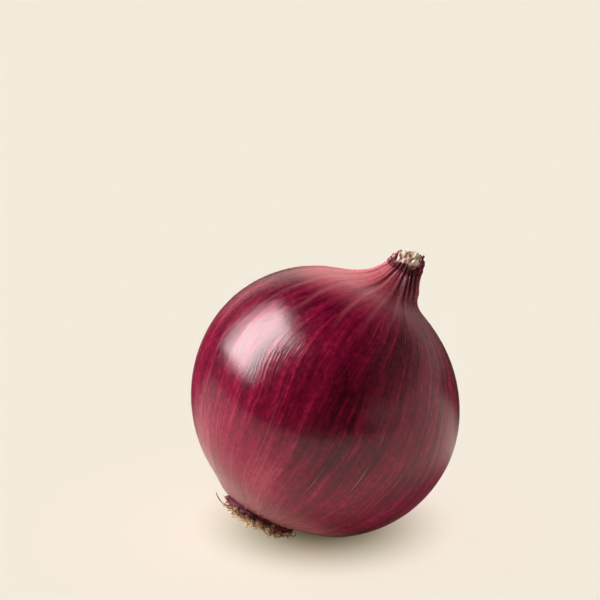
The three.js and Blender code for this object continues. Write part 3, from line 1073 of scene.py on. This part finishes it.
def makeFineRoots():
    f = fineRoots
    paths = []
    for _ in range(f["count"]):
        spread = math.sqrt(chance.uniform(0.02, 1))
        heading = chance.uniform(0, math.tau)
        length = f["length"] * chance.uniform(0.45, 1.2)
        splay = math.radians(5 + 25 * spread * chance.uniform(0.3, 1.2))
        swerve = chance.uniform(-0.8, 0.8)
        curl = chance.uniform(0.8, 2.0)
        radius = (rootField + f["out"]) * spread
        path = rootPath(radius, heading, length, splay, curl, swerve, f["points"])
        paths.append((path, chance.uniform(0.6, 1.3)))
    piece = fibres("fineRoots", paths, f["thickness"], f["tip"], 1, 3)
    paintWith(piece, rootTan)
    joinTo(piece, "root")


def makeStubs():
    # Pale stubs where thicker roots have broken off
    f = stubs
    paths = []
    for _ in range(f["count"]):
        heading = math.pi + chance.uniform(-f["spread"], f["spread"])
        radius = rootField * chance.uniform(0.45, 0.98)
        length = chance.uniform(3.6, 5.4)
        splay = math.radians(chance.uniform(6, 24))
        path = rootPath(radius, heading, length, splay, f["curl"], f["swerve"], f["points"])
        paths.append((path, chance.uniform(0.8, 1.15)))
    piece = fibres("rootStubs", paths, f["thickness"], f["tip"], 3, 4)
    paintWith(piece, rootPale)
    joinTo(piece, "root")


makeRoots()
makeStrayRoot()
makeFineRoots()
makeStubs()
print("roots done")


# Floor, light and camera; lamps stand along their way from the onion's middle, in metres
studio = dict(
    cream=(0.905, 0.842, 0.732), wall=0.95, room=0.02, air=0.1, wallWay=(0.772, 0.487, -0.407),
    floorSize=12.0, floorDrop=0.15 * mm, floorLight=0.93, floorLightHeight=1.2,
    # The shadow entries paint the onion's shadow onto the floor; the dark entries paint shade onto it that
    # shows only in reflections
    shadowSpot=(-0.003, 0, 0), shadowEdge=(-0.002, 0.041), shadowTint=(1.06, 1.12, 1.3),
    darkSpot=(0.012, 0.010, 0), darkEdge=(0.028, 0.07), reflectedFloorShade=(0.05, 0.033, 0.033),
    highlight=14.0, highlightWay=(-0.578, 0.068, 0.534), highlightUp=(0.0655, 0.979, -0.062),
    highlightSize=(0.70, 0.56),
    key=11.6, keyWay=(-0.704, 0.188, 0.686), keyAway=3, keySize=(2.3, 2.0),
    fill=1.15, fillWay=(0.80, 0.42, 0.38), fillAway=2, fillSize=(3.2, 2.4),
    pitch=20, distance=0.9, lens=185.8, aimRight=-7.56, aimUp=29.07,
)


def makeFloor():
    f = studio
    deselectAll()
    bpy.ops.mesh.primitive_plane_add(size=f["floorSize"], location=(0, 0, -f["floorDrop"]))
    floor = bpy.context.object
    floor.name = "floor"
    paint, tree, shader = newMaterial("cream paper floor")
    spots = pieceSpots(tree)
    ray = addNode(tree, "ShaderNodeLightPath").outputs["Is Glossy Ray"]
    parts = addNode(tree, "ShaderNodeSeparateXYZ", {0: spots}).outputs

    # A soft warm shadow is painted where the onion rests
    away = vectors(tree, "DISTANCE", spots, f["shadowSpot"], "Value")
    lit = between(tree, away, *f["shadowEdge"])
    paintedShadow = addNode(tree, "ShaderNodeCombineColor")
    for channel, share in zip(("Red", "Green", "Blue"), f["shadowTint"]):
        plug(tree, maths(tree, "POWER", lit, share), paintedShadow.inputs[channel])

    # Painted shade that shows only in reflections: in the onion's skin the floor shows dark far in front,
    # close by and behind
    near = vectors(tree, "DISTANCE", spots, f["darkSpot"], "Value")
    near = between(tree, near, *f["darkEdge"], 0.95, 0.0)
    dark = maths(tree, "MAXIMUM", between(tree, parts["Y"], -0.2, -0.34), near)
    aside = maths(tree, "ABSOLUTE", parts["X"])
    behind = between(tree, maths(tree, "MULTIPLY_ADD", aside, -0.5, parts["Y"]), 0.0, 0.05, 0.0, 0.98)
    dark = maths(tree, "MULTIPLY", maths(tree, "MAXIMUM", dark, behind), ray)
    colour = mixed(tree, dark, f["cream"], f["reflectedFloorShade"])
    colour = mixed(tree, 1.0, colour, paintedShadow.outputs["Color"], "MULTIPLY")
    tree.links.new(colour, shader.inputs["Base Color"])
    shader.inputs["Roughness"].default_value = 1.0
    shader.inputs["Specular IOR Level"].default_value = 0.0
    paintWith(floor, paint)
    return floor


def makeWorld():
    world = bpy.data.worlds.new("studio")
    bpy.context.scene.world = world
    world.use_nodes = True
    tree = world.node_tree
    sky = tree.nodes["Background"]
    direction = addNode(tree, "ShaderNodeTexCoord").outputs["Generated"]
    parts = addNode(tree, "ShaderNodeSeparateXYZ", {0: direction}).outputs
    ray = addNode(tree, "ShaderNodeLightPath").outputs
    # A pale wall behind and to the right, and a dark room elsewhere
    side = vectors(tree, "DOT_PRODUCT", direction, studio["wallWay"], "Value")
    wall = between(tree, side, -0.02, 0.10)
    ceiling = maths(tree, "MULTIPLY_ADD", parts["X"], -0.2, parts["Z"])
    wall = maths(tree, "MULTIPLY", wall, between(tree, ceiling, 0.44, 0.64, 1.0, 0.0))
    upper = between(tree, parts["Z"], 0.05, 0.35)
    upperRight = maths(tree, "MULTIPLY", between(tree, parts["X"], 0.2, 0.5), upper)
    wall = maths(tree, "MULTIPLY", wall, maths(tree, "MULTIPLY_ADD", upperRight, -0.84, 1.0))
    glow = between(tree, wall, 0, 1, studio["room"], studio["wall"], smooth=False)
    glow = mixed(tree, ray["Is Glossy Ray"], (studio["air"],) * 3, glow)
    light = mixed(tree, 1.0, studio["cream"], glow, "MULTIPLY")
    tree.links.new(mixed(tree, ray["Is Camera Ray"], light, studio["cream"]), sky.inputs["Color"])


def softbox(name, spot, towards, upAxis, size, radiance, diffuse=True, glossy=True):
    # A rectangular lamp that faces a place, as bright as a sheet of that radiance
    width, height = size
    deselectAll()
    bpy.ops.object.light_add(type="AREA", location=spot)
    lamp = bpy.context.object
    lamp.name = name
    lamp.data.shape = "RECTANGLE"
    lamp.data.size = width
    lamp.data.size_y = height
    lamp.data.energy = math.pi * radiance * width * height
    back = (Vector(spot) - Vector(towards)).normalized()
    side = Vector(upAxis).cross(back).normalized()
    up = back.cross(side)
    turn = Matrix((side, up, back)).transposed().to_4x4()
    lamp.matrix_world = Matrix.Translation(spot) @ turn
    lamp.visible_camera = False
    lamp.visible_diffuse = diffuse
    lamp.visible_glossy = glossy
    return lamp


def groupOf(name, pieces):
    group = bpy.data.collections.new(name)
    for piece in pieces:
        group.objects.link(piece)
    return group


def makeLights(floor):
    f = studio
    onionPieces = [piece for piece in bpy.data.objects if piece.type == "MESH" and piece is not floor]
    # One box is only mirrored in the skin, and two only light it
    spot = centre + Vector(f["highlightWay"])
    up = f["highlightUp"]
    softbox("highlight box", spot, centre, up, f["highlightSize"], f["highlight"], diffuse=False)
    spot = centre + Vector(f["keyWay"]) * f["keyAway"]
    key = softbox("key box", spot, centre, (0, 1, 0), f["keySize"], f["key"], glossy=False)
    key.light_linking.receiver_collection = groupOf("onion in key light", onionPieces)
    spot = centre + Vector(f["fillWay"]) * f["fillAway"]
    fill = softbox("wall box", spot, centre, (0, 0, 1), f["fillSize"], f["fill"], glossy=False)
    fill.light_linking.receiver_collection = groupOf("onion in wall light", onionPieces)

    # The floor has its own even light from above; its paint holds the shadow
    spot = (0, 0, f["floorLightHeight"])
    size = (f["floorSize"], f["floorSize"])
    overhead = softbox("overhead box", spot, (0, 0, 0), (0, 1, 0), size, f["floorLight"], glossy=False)
    overhead.data.use_shadow = False
    overhead.data.cycles.use_multiple_importance_sampling = False
    overhead.light_linking.receiver_collection = groupOf("floor only", [floor])


def makeCamera():
    f = studio
    pitch = math.radians(f["pitch"])
    back = Vector((0, -math.cos(pitch), math.sin(pitch)))
    up = Vector((0, math.sin(pitch), math.cos(pitch)))
    aim = centre + Vector((1, 0, 0)) * f["aimRight"] * mm + up * f["aimUp"] * mm
    spot = aim + back * f["distance"]
    deselectAll()
    bpy.ops.object.camera_add(location=spot, rotation=(math.pi / 2 - pitch, 0, 0))
    camera = bpy.context.object
    camera.data.lens = f["lens"]
    camera.data.sensor_width = 36
    camera.data.clip_start = 0.01
    camera.data.clip_end = 100
    bpy.context.scene.camera = camera


floor = makeFloor()
makeWorld()
makeLights(floor)
makeCamera()
bpy.context.scene.view_settings.view_transform = "Standard"
print("floor, lamps and camera set")
